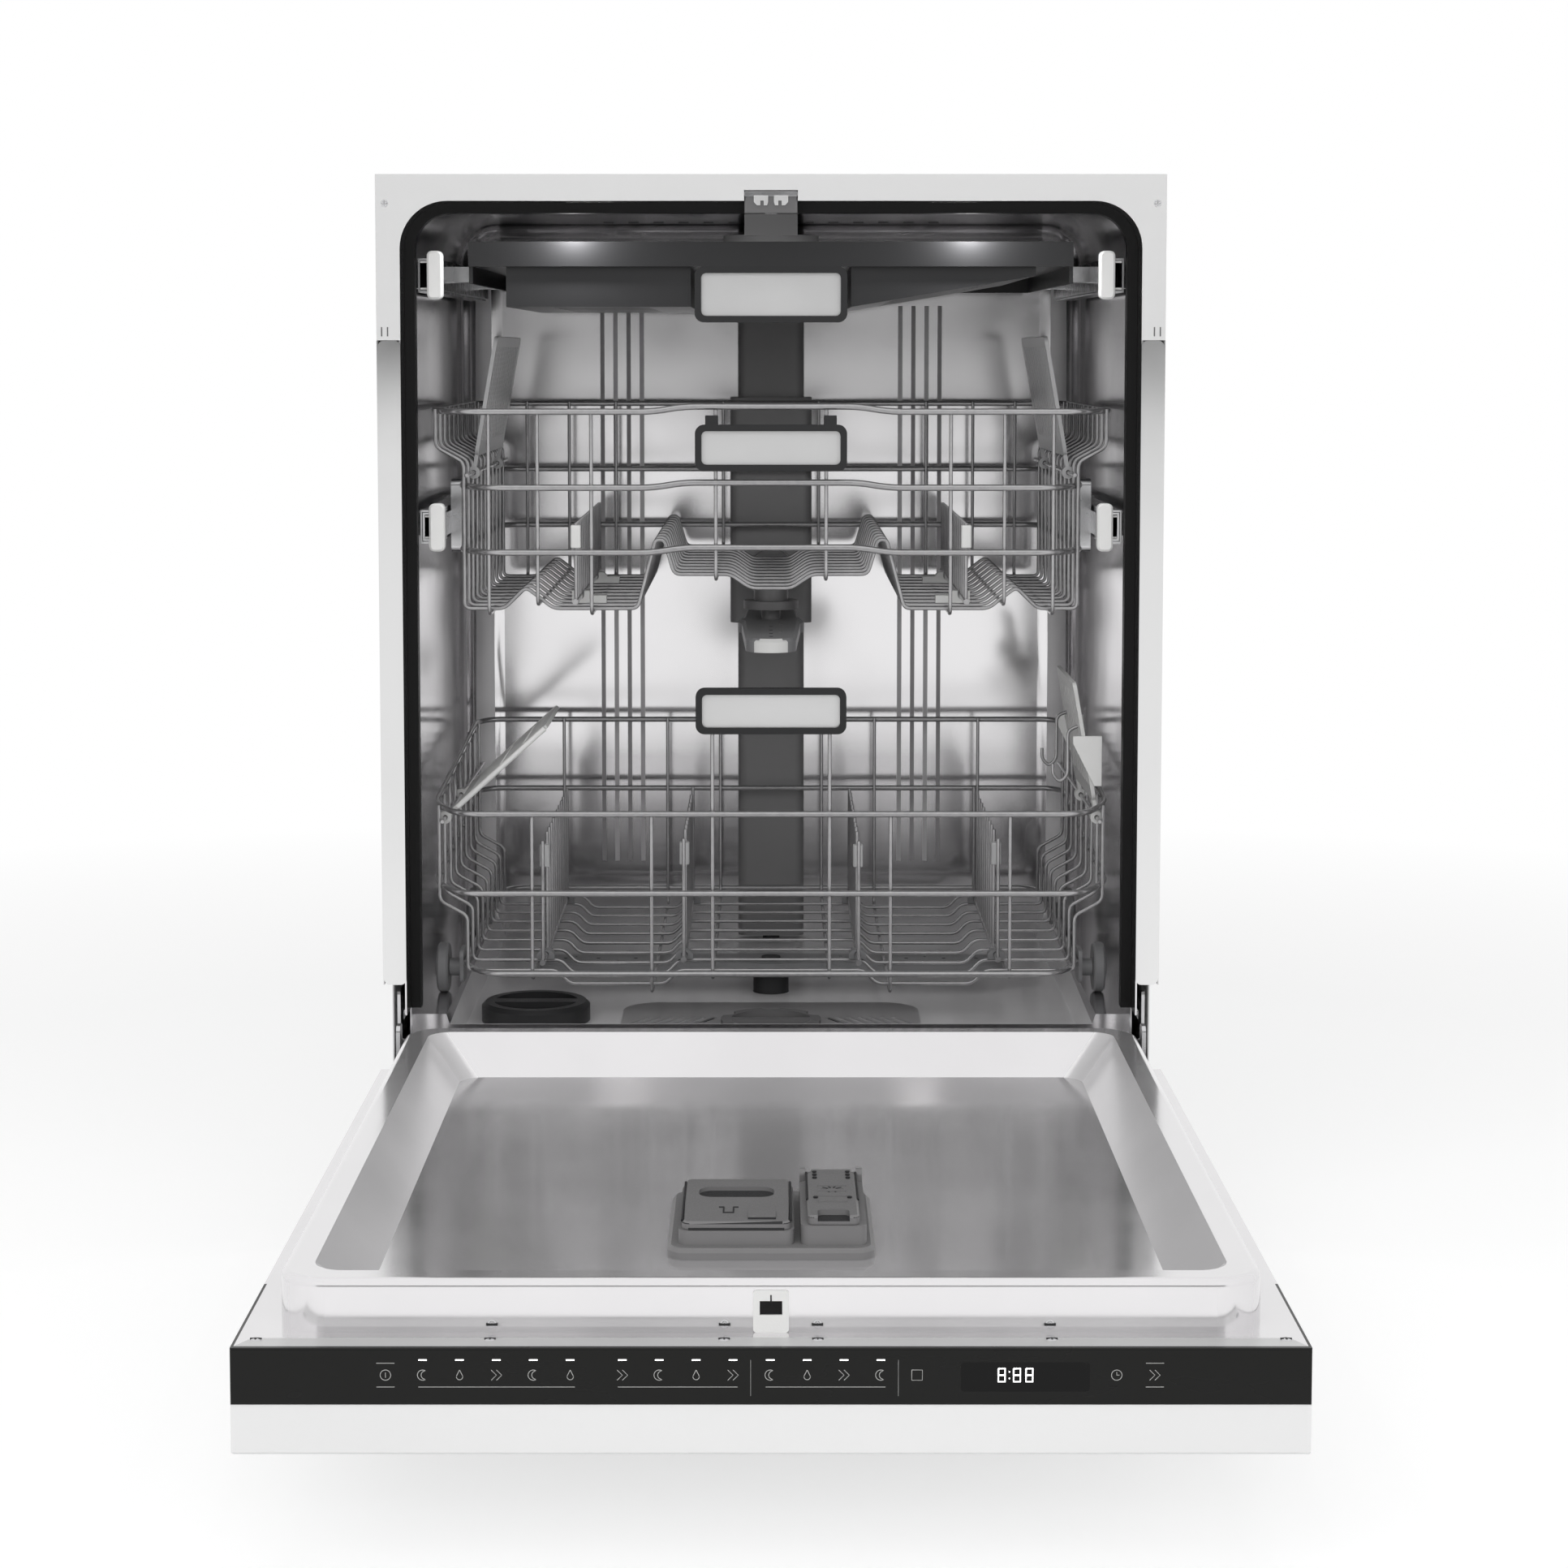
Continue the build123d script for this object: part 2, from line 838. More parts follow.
def drain_pump():
    z = stub_z
    rear = cabinet_depth - 2 * sheet
    pump = bar_x(-stub_end - drain_length, -stub_end, sump_y, z, drain_radius)
    drop_x = -stub_end - drain_length / 2
    pump += upright(drop_x, sump_y, spigot_z, z, drain_pipe)
    pump += Pos(drop_x, sump_y, spigot_z) * Sphere(drain_pipe)
    pump += bar_y(drop_x, sump_y, rear + 1, spigot_z, drain_pipe)
    pump += bar_y(drop_x, rear, rear + spigot_length, spigot_z, drain_spigot)
    return pump


def softener_tank():
    bottom = base_bottom + base_wall
    under_tub = tub_floor - tub_wall
    y0 = salt_y - softener_length / 2 + softener_offset
    plan = rounded(softener_left, softener_right, y0, y0 + softener_length, softener_corner)
    body = slab_z(plan, bottom, base_top)
    body += upright(salt_x, salt_y, base_top, under_tub, salt_neck + neck_wall)
    plug_depth = under_tub - base_top / 2
    return body - upright(salt_x, salt_y, plug_depth, under_tub + 1, salt_neck + running_gap)


def salt_cap():
    bottom = tub_floor + running_gap
    cap = upright(salt_x, salt_y, bottom, bottom + salt_cap_height, salt_cap_radius)
    cap = chamfer(cap.edges().group_by(Axis.Z)[-1], salt_cap_rim / 3)
    cap += upright(salt_x, salt_y, base_top, bottom, salt_neck)
    grip_top = bottom + salt_cap_height + 1
    rim = upright(salt_x, salt_y, bottom + salt_cap_web, grip_top, salt_cap_radius - salt_cap_rim)
    bar = block(
        salt_x - salt_cap_radius,
        salt_x + salt_cap_radius,
        salt_y - salt_grip_half,
        salt_y + salt_grip_half,
        0,
        grip_top,
    )
    return cap - (rim - bar)


def inlet_valve():
    rear = cabinet_depth - 2 * sheet - base_wall
    body = block(
        valve_x - valve_size / 2,
        valve_x + valve_size / 2,
        rear - valve_size,
        rear,
        base_bottom + base_wall,
        spigot_z + valve_size / 2,
    )
    body = fillet(body.edges().filter_by(Axis.Z), valve_round)
    end = cabinet_depth - 2 * sheet + spigot_length
    body += bar_y(valve_x, rear - 1, end, spigot_z, valve_spigot)
    return body - bar_y(valve_x, rear, end + 1, spigot_z, valve_spigot - spigot_wall)


def flat_filter():
    front = filter_plate_front
    back = front + filter_plate_length
    top = tub_floor + filter_sheet
    plate = slab_z(
        rounded(-filter_plate_half, filter_plate_half, front, back, filter_corner),
        tub_floor,
        top,
    )
    plate -= upright(0, filter_y, tub_floor - 1, top + 1, filter_radius - filter_lip + running_gap)
    slot = Rectangle(*filter_slot)
    for step in range(filter_slot_count):
        x = filter_radius + filter_slot_gap + filter_slot_pitch * step
        for side in (-1, 1):
            cut = Pos(side * x, (front + back) / 2) * Rot(0, 0, filter_slot_turn * side) * slot
            plate -= slab_z(cut, tub_floor - 1, top + 1)
    return plate


def filter_cylinder():
    seat = tub_floor + filter_sheet
    top = seat + filter_grip
    neck = filter_radius - filter_lip
    floor = seat - filter_depth
    body = upright(0, filter_y, floor, seat + filter_lip / 2, neck)
    body += upright(0, filter_y, seat, top, filter_radius)
    body -= upright(0, filter_y, floor + filter_wall / 2, top + 1, neck - filter_wall)
    body += block(
        -neck, neck, filter_y - filter_grip_half, filter_y + filter_grip_half, seat, top
    )
    for turn in range(scoop_count):
        angle = 360 / scoop_count * (turn + 0.5)
        scoop = Pos(0, filter_y) * Rot(0, 0, angle) * Pos(filter_radius + scoop_out, 0)
        body -= scoop * upright(0, 0, seat + scoop_out, top + 1, scoop_radius)
    return body


def arm_outline(reach):
    """Plan of one spray arm: broad at the hub, narrower and round at its tips."""
    hub = Circle(arm_width / 2 + hub_extra)
    tip = arm_tip_width / 2
    blade = polygon(
        (-arm_width / 2, 0),
        (-tip, reach - tip),
        (tip, reach - tip),
        (arm_width / 2, 0),
        (tip, tip - reach),
        (-tip, tip - reach),
    )
    return hub + blade + Pos(0, reach - tip) * Circle(tip) + Pos(0, tip - reach) * Circle(tip)


def spray_arm(reach, bottom, height, bore):
    """Spray arm along Y, centred on its spindle."""
    arm = slab_z(arm_outline(reach), bottom, bottom + height)
    arm = chamfer(arm.edges().group_by(Axis.Z)[-1], height / 4)
    arm -= upright(0, 0, bottom - 1, bottom + height + 1, bore)
    for step in range(nozzle_count):
        y = reach * (nozzle_first + nozzle_step * step)
        offset = arm_tip_width / 5 * (1 if step % 2 else -1)
        for side in (-1, 1):
            arm -= upright(side * offset, side * y, bottom + 1, bottom + height + 1, nozzle_radius)
    return arm


def lower_spray_arm():
    arm = spray_arm(
        lower_arm_reach, lower_arm_bottom, lower_arm_height, spindle_radius + running_gap
    )
    return Pos(0, arm_y) * Rot(0, 0, 90) * arm


def feed_duct():
    back = tub_back
    front = back - duct_depth
    section = rounded(-duct_half, duct_half, front, back + 2 * duct_corner, duct_corner)
    keep = block(-half, half, front - 1, back, duct_base, tub_ceiling)
    ceiling_front = upper_arm_y - shower_radius
    column = slab_z(section, duct_base, tub_ceiling - tub_corner) & keep
    dock_front = front - dock_depth
    dock = rounded(-dock_half, dock_half, dock_front, back + 2 * duct_corner, duct_corner)
    column += slab_z(dock, dock_bottom, dock_top) & block(
        -half, half, dock_front - 1, back, dock_bottom, dock_top
    )
    ring_end = front - ring_depth
    column += bar_y(0, ring_end, front, feed_pipe_z, dock_ring)
    column -= bar_y(0, ring_end - 1, front, feed_pipe_z, dock_ring - ring_wall)
    riser = tub_ceiling - ceiling_duct_depth
    column += block(
        -ceiling_duct_half,
        ceiling_duct_half,
        front,
        back - tub_corner / 3,
        tub_ceiling - tub_corner - 1,
        tub_ceiling - tub_corner / 3,
    )
    column += block(
        -ceiling_duct_half,
        ceiling_duct_half,
        ceiling_front,
        back - tub_corner,
        riser,
        tub_ceiling,
    )
    column += block(
        -ceiling_duct_half,
        ceiling_duct_half,
        back - tub_corner - 1,
        front + 1,
        riser,
        tub_ceiling - tub_corner / 3,
    )
    column += upright(0, upper_arm_y, riser - shower_drop, riser + 1, shower_radius)
    for turn in range(shower_holes):
        spoke = Rot(0, 0, 360 / shower_holes * turn) * Pos(shower_radius * shower_hole_ring, 0)
        hole = upright(0, 0, riser - shower_drop - 1, riser - shower_drop / 3, nozzle_radius)
        column -= Pos(0, upper_arm_y) * spoke * hole
    return column


# Door


def door_shell_panel():
    side = door_half
    body = block(-side, side, shell_front, door_rear, door_bottom, flange_z)
    wrap = panel_wrap + fit_gap
    for x in (-side, side):
        wrap_end = door_front + panel_return + fit_gap
        body -= block(x - wrap, x + wrap, shell_front - 1, wrap_end, 0, flange_z + 1)
    wall = door_sheet
    inner = side - wrap - wall
    body -= block(
        -inner, inner, shell_front + wall, door_rear - wall, door_bottom + wall, flange_z - wall
    )
    well_side = dispenser_half - dispenser_lip + running_gap
    body -= block(
        -well_side,
        well_side,
        dispenser_near + dispenser_lip - running_gap,
        dispenser_back - dispenser_lip + running_gap,
        door_bottom + 2 * wall,
        flange_z + 1,
    )
    slot = hinge_arm_x() - hinge_slot_play
    hinge_slot = block(
        slot,
        slot + arm_plate + 2 * hinge_slot_play,
        door_rear - hinge_slot_depth,
        door_rear + 1,
        door_bottom + wall,
        flange_z - 2 * wall,
    )
    for part in both(hinge_slot):
        body -= part
    hole_y = (shell_front + liner_front) / 2
    for x in flange_hole_places:
        for place in (-x, x):
            body -= upright(place, hole_y, flange_z - 2 * wall, flange_z + 1, flange_hole)
    return body


def liner_ring(inset):
    """Plan of the liner drawn in by an inset, with the pan's corners."""
    side = liner_half - inset
    return rounded(-side, side, liner_front + inset, liner_rear - inset, pan_corner)


def door_inner_liner():
    front = liner_front
    rear = liner_rear
    plan = rounded(-liner_half, liner_half, front, rear, liner_corner)
    body = slab_z(plan, flange_z, roll_level)
    body = fillet(body.edges().group_by(Axis.Z)[-1], rim_round)
    wall = liner_sheet
    bed_in = rim_width + pan_slope
    bed = Plane(origin=(0, 0, pan_floor)) * liner_ring(bed_in)
    mouth = Plane(origin=(0, 0, roll_level)) * liner_ring(rim_width)
    body -= loft([bed, mouth])
    hollow = slab_z(
        rounded(wall - liner_half, liner_half - wall, front + wall, rear - wall, liner_corner - wall),
        flange_z,
        roll_level - rim_round,
    )
    core_bed = Plane(origin=(0, 0, flange_z)) * liner_ring(bed_in - wall)
    core_mouth = Plane(origin=(0, 0, roll_level)) * liner_ring(rim_width - 2 * wall)
    body -= hollow - loft([core_bed, core_mouth])
    well_side = dispenser_half - dispenser_lip + running_gap
    body -= block(
        -well_side,
        well_side,
        dispenser_near + dispenser_lip - running_gap,
        dispenser_back - dispenser_lip + running_gap,
        flange_z - 1,
        pan_floor + 1,
    )
    slot = block(
        -slot_width / 2,
        slot_width / 2,
        front - 1,
        front + 4 * wall,
        flange_z + slot_offset,
        flange_z + slot_offset + slot_height,
    )
    return body - slot


def latch_plate():
    top = roll_level - 6
    width = latch_plate_width / 2
    plate = slab_y(
        rounded(-width, width, flange_z, top, 2), liner_front - latch_plate_thickness, liner_front
    )
    return plate - block(
        -slot_width / 2,
        slot_width / 2,
        liner_front - 2 * latch_plate_thickness,
        liner_front + 1,
        flange_z + slot_offset,
        flange_z + slot_offset + slot_height,
    )


def control_panel():
    face = block(-door_half, door_half, door_front, shell_front, door_bottom, flange_z)
    face = fillet(face.edges().group_by(Axis.Y)[0], 1.2)
    side = block(
        door_half - panel_wrap,
        door_half,
        shell_front,
        door_front + panel_return,
        door_bottom,
        flange_z,
    )
    for part in both(side):
        face += part
    return face - display_window()


def display_window():
    middle = (door_bottom + flange_z) / 2
    low = middle - display_height / 2
    left = display_place - display_width / 2
    glass = rounded(left, left + display_width, low, low + display_height, 2)
    return slab_y(glass, door_front, door_front + display_glass)


def decor_panel():
    panel = block(
        -door_half,
        door_half,
        door_front + decor_setback,
        pivot_y - decor_rear,
        door_bottom - decor_thickness,
        door_bottom,
    )
    return fillet(panel.edges().group_by(Axis.Z)[0], 2)


def hinge_arm_x():
    """Inner face of each hinge arm, just outside the tub."""
    return tub_half + tub_wall + arm_gap


def hinge_arms():
    x0 = hinge_arm_x()
    mid = (door_bottom + flange_z) / 2
    outline = Pos(pivot_y, pivot_z) * Circle(hinge_ear)
    outline += Pos(pivot_y - arm_reach / 2, mid) * RectangleRounded(arm_reach, arm_height, 4)
    seat = door_sheet
    outline += rounded(
        pivot_y - arm_reach, door_rear - 3 * seat, door_bottom + seat, flange_z - seat, 2
    )
    lever_top = pivot_z + lever_height
    outline += rounded(
        pivot_y - hinge_ear * lever_part,
        pivot_y + hinge_ear * lever_part,
        pivot_z,
        lever_top,
        hinge_ear / 2,
    )
    outline -= Pos(pivot_y, pivot_z) * Circle(pin_radius + pin_play)
    return both(slab_x(outline, x0, x0 + arm_plate))


def hinge_brackets():
    x0 = hinge_arm_x() + arm_plate + plate_gap
    x1 = x0 + hinge_plate
    tail = bracket_tail
    top = strip_bottom - bracket_top_gap
    low = base_top - bracket_drop
    neck = hinge_ear * bracket_neck
    plate = Pos(pivot_y, pivot_z) * Circle(hinge_ear)
    plate += polygon(
        (pivot_y, pivot_z - neck),
        (sill_front, pivot_z - neck),
        (sill_front, pivot_z + neck),
        (pivot_y, pivot_z + neck),
    )
    plate += rounded(sill_front - bracket_top_gap, tail, low, top, bracket_corner)
    slot_y = sill_front + bracket_slot_place[0]
    for step in range(bracket_slots):
        place = Pos(slot_y + bracket_slot_pitch * step, top - bracket_slot_place[1])
        plate -= place * SlotOverall(*bracket_slot)
    plate -= Pos((sill_front + tail) / 2, pivot_z) * SlotOverall(*bracket_window)
    bracket = slab_x(plate, x0, x1)
    bracket += bar_x(hinge_arm_x() - 1, x0 + 1, pivot_y, pivot_z, pin_radius)
    wall = half - sheet - butt_gap - base_wall
    seat_end = tail - bracket_block_gap
    bracket += block(x1 - 1, wall, toe_setback, seat_end, low, base_top - bracket_top_gap)
    return both(bracket)


def door_springs():
    x = hinge_arm_x() + arm_plate / 2
    start = Vector(x, pivot_y, pivot_z + lever_height - hinge_ear)
    end = Vector(x, spring_anchor_y, spring_anchor_z)
    along = end - start
    coil_start = start + along * spring_start
    rod_length = along.length * spring_start + 1
    rod = Plane(origin=start, z_dir=along) * extrude(Circle(spring_rod), rod_length)
    coil = Plane(origin=coil_start, z_dir=along) * extrude(
        Circle(spring_radius) - Circle(spring_radius - 2), along.length * (1 - spring_start)
    )
    cap = Plane(origin=coil_start, z_dir=along) * extrude(Circle(spring_radius), 3)
    spring = rod + coil + cap
    lever_edge = pivot_y + hinge_ear * lever_part
    spring &= block(0, half, lever_edge, spring_anchor_y, 0, cabinet_height)
    return both(spring)


def dispenser_body():
    near = dispenser_near
    back = dispenser_back
    base_top_z = pan_floor + dispenser_base
    body = slab_z(
        rounded(-dispenser_half, dispenser_half, near, back, dispenser_corner), pan_floor, base_top_z
    )
    body = chamfer(body.edges().group_by(Axis.Z)[-1], dispenser_bevel)
    well = dispenser_half - dispenser_lip
    body += block(
        -well,
        well,
        near + dispenser_lip,
        back - dispenser_lip,
        pan_floor - dispenser_well,
        base_top_z - 1,
    )
    seat_y = (near + seat_near, back - seat_back)
    lid_edge = seat_side - dispenser_half
    lid_seat = rounded(lid_edge, lid_split, *seat_y, seat_corner)
    body += slab_z(lid_seat, base_top_z - 1, base_top_z + lid_height)
    flap_edge = dispenser_half - seat_side + lid_play
    flap_seat = rounded(lid_split + seat_split, flap_edge, *seat_y, seat_corner)
    body += slab_z(flap_seat, base_top_z - 1, base_top_z + flap_height)
    cup_top = base_top_z + lid_height
    cup = rounded(
        lid_edge + cup_border,
        lid_split - cup_border + 1,
        seat_y[0] + cup_border + 1,
        seat_y[1] - cup_border - 1,
        cup_corner,
    )
    body -= slab_z(cup, cup_top - cup_depth, cup_top + 1)
    pin_y, pin_z = flap_axis()
    ears = (lid_split + seat_split, flap_edge - flap_ear)
    for x in ears:
        body += block(
            x, x + flap_ear, pin_y - flap_ear, pin_y + flap_ear, base_top_z - 1, pin_z
        )
        body += bar_x(x, x + flap_ear, pin_y, pin_z, flap_ear)
    body += bar_x(ears[0] + 3, ears[1] + 1, pin_y, pin_z, flap_pin - flap_bore)
    return body


def flap_axis():
    """Y and Z of the rinse-aid flap's pin."""
    pin_z = pan_floor + dispenser_base + flap_height + flap_lift
    return dispenser_back - flap_back, pin_z


def dispenser_lid():
    near = dispenser_near + seat_near + lid_play
    back = dispenser_back - seat_back - lid_play
    left = seat_side + lid_play - dispenser_half
    right = lid_split - lid_play
    bottom = pan_floor + dispenser_base + lid_height + running_gap
    top = bottom + lid_thickness
    lid = slab_z(rounded(left, right, near, back, seat_corner - 1), bottom, top)
    lid = chamfer(lid.edges().group_by(Axis.Z)[-1], lid_round)
    length, depth = lid_grip
    grip_y = back - seat_back + lid_play
    recess = rounded(left + cup_border, right - cup_border - 1, grip_y - length, grip_y, cup_border)
    return lid - slab_z(recess, top - depth, top + 1)


def rinse_aid_flap():
    pin_y, pin_z = flap_axis()
    bottom = pan_floor + dispenser_base + flap_height + running_gap
    top = bottom + flap_thickness
    left = lid_split + seat_split + flap_ear + running_gap
    right = dispenser_half - seat_side + lid_play - flap_ear - running_gap
    near = dispenser_near + seat_near + lid_play
    flap = slab_z(rounded(left, right, near, pin_y - flap_ear - 1, flap_ear), bottom, top)
    flap = chamfer(flap.edges().group_by(Axis.Z)[-1], lid_round)
    length, inset = flap_grip
    thumb_near = near - flap_ear
    thumb = rounded(left + inset, right - inset, thumb_near, thumb_near + length, flap_ear)
    flap -= slab_z(thumb, bottom + lid_play, top + 1)
    knuckle = (left + flap_pin, right - flap_pin)
    flap += block(*knuckle, pin_y - 2 * flap_ear, pin_y, bottom + 1, pin_z + flap_pin)
    flap += bar_x(*knuckle, pin_y, pin_z, flap_pin)
    flap -= bar_x(left, right, pin_y, pin_z, flap_pin - flap_bore + pin_play)
    width, proud = flap_rib
    for step in range(flap_rib_count):
        y = near + flap_rib_first + flap_rib_pitch * step
        flap += block(left + inset + 1, right - inset - 1, y, y + width, top - 1, top + proud)
    return flap


# Wire racks


def half_rim(half_width, front_z, back_z):
    """Right half of a rim wire, with cut corners, rising evenly to the back."""
    slope = (back_z - front_z) / (rack_back - rack_front)

    def at(x, y):
        return (x, y, front_z + slope * (y - rack_front))

    return wire(
        [
            at(0, rack_front),
            at(half_width - front_chamfer[0], rack_front),
            at(half_width, rack_front + front_chamfer[1]),
            at(half_width, rack_back - back_chamfer[1]),
            at(half_width - back_chamfer[0], rack_back),
            at(0, rack_back),
        ],
        rim_wire,
    )


def long_wire(x, floor, front_top, back_top):
    """Wire from the front rim down, along under the floor and up to the rear rim."""
    inset = cross_inset + weld_gap
    front = rack_front + inset
    back = rack_back - inset
    route = [(x, front, front_top), (x, front, floor), (x, back, floor), (x, back, back_top)]
    return wire(route, basket_wire)


def lower_rim_rise(y):
    """How far the two upper rims of the lower rack have risen at depth y."""
    return lower_rise * (y - rack_front) / (rack_back - rack_front)


def lower_cross_places():
    return [lower_cross_first + lower_cross_pitch * step for step in range(lower_cross_count)]


def lower_cross_wire(y):
    side = rack_half - cross_inset
    foot = rack_foot_half - cross_inset
    a, b, c, d = well_edges
    top = lower_rims[2] + lower_rim_rise(y) + basket_wire / 2
    outline = [
        (a, lower_raised),
        (b, lower_floor),
        (c, lower_floor),
        (d, lower_raised),
        (foot, lower_raised),
        (foot, lower_joggle - joggle_drop),
        (side, lower_joggle),
        (side, top),
    ]
    right = [(x, y, z) for x, z in outline]
    left = [(-x, y, z) for x, z in outline]
    return wire(right[::-1] + left, basket_wire)


def hinge_wire_x(side):
    """Place of the wires that the shelves hang on, inside the cross wires."""
    return side - cross_inset - basket_wire


def hinge_wires(side, z, places):
    x = hinge_wire_x(side)
    first = places[0] - hinge_wire_end
    last = places[-1] + hinge_wire_end
    return both(wire([(x, first, z), (x, last, z)], basket_wire))


def lower_basket():
    solids = []
    for height, width, rise in zip(
        lower_rims, (rack_foot_half, rack_half, rack_half), (0, lower_rise, lower_rise)
    ):
        solids += both(half_rim(width, height, height + rise))
    top = lower_rims[2] + basket_wire / 2
    for place in lower_long_places:
        in_well = well_edges[1] < place < well_edges[2]
        floor = (lower_floor if in_well else lower_raised) - basket_wire
        front_top = lower_handle_z if place == lower_long_places[0] else top
        solids += both(long_wire(place, floor, front_top, top + lower_rise))
    solids += [lower_cross_wire(y) for y in lower_cross_places()]
    places = lower_cross_places()
    solids += hinge_wires(rack_half, lower_hinge_z, places)
    return solids


def handle(bottom, height, y):
    """Rack handle: a round-cornered frame round a thin plate."""
    width = handle_width / 2
    outer = rounded(-width, width, bottom, bottom + height, handle_corner)
    inner_half = width - handle_border
    inner = rounded(
        -inner_half,
        inner_half,
        bottom + handle_border,
        bottom + height - handle_border,
        handle_inner_corner,
    )
    frame = slab_y(outer - inner, y, y + handle_depth)
    plate_y = y + handle_depth / 2
    return [frame, slab_y(inner, plate_y, plate_y + handle_plate)]


def lower_handle():
    y = rack_front + cross_inset + weld_gap - handle_depth / 2
    return handle(lower_handle_z, handle_height, y)


def upper_handle():
    y = rack_front + cross_inset + weld_gap - basket_wire / 2 - handle_depth
    frame, plate = handle(upper_handle_z, handle_height, y)
    top = upper_handle_z + handle_height
    under_rim = upper_rims[2] - rim_wire / 2 * hex_corner
    lug_end = handle_width / 2 - handle_lug_inset
    lug = block(lug_end - handle_lug, lug_end, y, y + handle_depth, top - 1, under_rim)
    for part in both(lug):
        frame += part
    return [frame, plate]


def tray_handle():
    return handle(tray_base - tray_handle_height, tray_handle_height, tray_front)


def tine_row(x, y_list, rod_z, height, size):
    """Fold-down comb: a flat-topped rod with tines standing on it."""
    first = min(y_list) - 3 * size
    last = max(y_list) + 3 * size
    rod = bar_y(x, first, last, rod_z, rod_radius)
    reach = 2 * rod_radius
    rod -= block(x - reach, x + reach, first - 1, last + 1, rod_z + rod_flat, rod_z + reach)
    foot = rod_z + rod_flat
    tines = [wire([(x, y, foot), (x, y, foot + height)], size) for y in y_list]
    return [rod] + tines


def clip(x, y, seat):
    """Clip that holds a comb's rod above a floor wire."""
    rod_z = seat + clip_web + rod_radius
    top = rod_z + rod_radius + clip_web
    body = block(x - clip_half, x + clip_half, y - clip_length / 2, y + clip_length / 2, seat, top)
    body = chamfer(body.edges().group_by(Axis.Z)[-1].filter_by(Axis.Y), clip_bevel)
    return body - bar_y(x, y - clip_length, y + clip_length, rod_z, rod_radius + running_gap)


def rod_height(floor):
    return floor + basket_wire / 2 + clip_web + rod_radius


def tine_places(places, clips, pitch, offset, size):
    """Even places along a row that leave room for its clips."""
    count = int((places[-1] - places[0]) / pitch)
    spots = [places[0] + offset + pitch * step for step in range(count)]
    room = clip_length / 2 + size
    return [y for y in spots if all(abs(y - c) > room for c in clips)]


def lower_clip_places():
    places = lower_cross_places()
    return places[1], places[-2]


def lower_tine_row(index):
    offset = 0.5 * lower_tine_pitch * (1 + index % 2)
    spots = tine_places(
        lower_cross_places(), lower_clip_places(), lower_tine_pitch, offset, tine_wire
    )
    return tine_row(
        lower_rows[index], spots, rod_height(lower_raised), lower_tine_height, tine_wire
    )


def lower_clips():
    seat = lower_raised + basket_wire / 2
    solids = [clip(x, y, seat) for x in lower_rows for y in lower_clip_places()]
    inner = rack_foot_half + rim_wire / 2
    for y in wheel_places:
        outline = rounded(
            y - carrier_half,
            y + carrier_half,
            wheel_z - carrier_below,
            lower_rims[0] + carrier_above,
            carrier_corner,
        )
        plate = slab_x(outline, inner, inner + carrier_plate)
        collar = axle_radius + axle_collar
        head = wheel_outer + running_gap
        plate += bar_x(inner + 1, head, y, wheel_z, axle_radius)
        plate += bar_x(head, wheel_outer + axle_head, y, wheel_z, collar)
        plate += bar_x(inner + 1, wheel_inner - running_gap, y, wheel_z, collar)
        solids += both(plate)
    return solids


def wheels(y):
    rim = bar_x(wheel_inner, wheel_outer, y, wheel_z, wheel_radius)
    rim = chamfer(rim.edges(), wheel_bevel)
    floor = wheel_outer - wheel_recess
    recess = bar_x(floor, wheel_outer + 1, y, wheel_z, wheel_radius - wheel_tread)
    recess -= bar_x(floor - 1, wheel_outer + 2, y, wheel_z, axle_radius + wheel_hub)
    rim -= recess
    rim -= bar_x(wheel_inner - 1, wheel_outer + 1, y, wheel_z, axle_radius + running_gap)
    return both(rim)


def upper_wave_height(x):
    """Height of the upper rack's floor wires above their lowest level at x."""
    points = [(0.0, upper_wave[0][1])] + list(upper_wave) + [(half, 0.0)]
    for (x0, h0), (x1, h1) in zip(points, points[1:]):
        if x0 <= x <= x1:
            return h0 + (h1 - h0) * (x - x0) / (x1 - x0)


def upper_cross_places():
    return [upper_cross_first + upper_cross_pitch * step for step in range(upper_cross_count)]


def upper_cross_wire():
    side = rack_half - cross_inset
    foot = rack_foot_half - cross_inset
    outline = [(x, upper_floor + rise) for x, rise in upper_wave]
    outline += [
        (foot, upper_floor),
        (foot, upper_flare),
        (side, upper_flare + joggle_drop),
        (side, upper_rims[2] + basket_wire / 2),
    ]
    right = [(x, 0, z) for x, z in outline]
    left = [(-x, 0, z) for x, z in outline]
    return wire(right[::-1] + left, basket_wire)


def upper_basket():
    solids = []
    for height, width in zip(upper_rims, (rack_foot_half, rack_foot_half, rack_half)):
        solids += both(half_rim(width, height, height))
    top = upper_rims[2] + basket_wire / 2
    for place in upper_long_places:
        on_slope = place in upper_slopes
        drop = basket_wire * (slope_drop if on_slope else 1.0)
        floor = upper_floor + upper_wave_height(place) - drop
        solids += both(long_wire(place, floor, top, top))
    cross = upper_cross_wire()
    solids += [Pos(0, y) * cross for y in upper_cross_places()]
    places = upper_cross_places()
    solids += hinge_wires(rack_foot_half, upper_hinge_z, places)
    return solids


def upper_clip_places():
    places = upper_cross_places()
    return places[2], places[-3]


def upper_comb(side):
    offset = upper_tine_pitch / 2
    spots = tine_places(
        upper_cross_places(), upper_clip_places(), upper_tine_pitch, offset, tine_wire
    )
    return tine_row(
        side * upper_row, spots, rod_height(upper_floor), upper_tine_height, tine_wire
    )


def upper_clips():
    seat = upper_floor + basket_wire / 2
    return [clip(x, y, seat) for x in (-upper_row, upper_row) for y in upper_clip_places()]


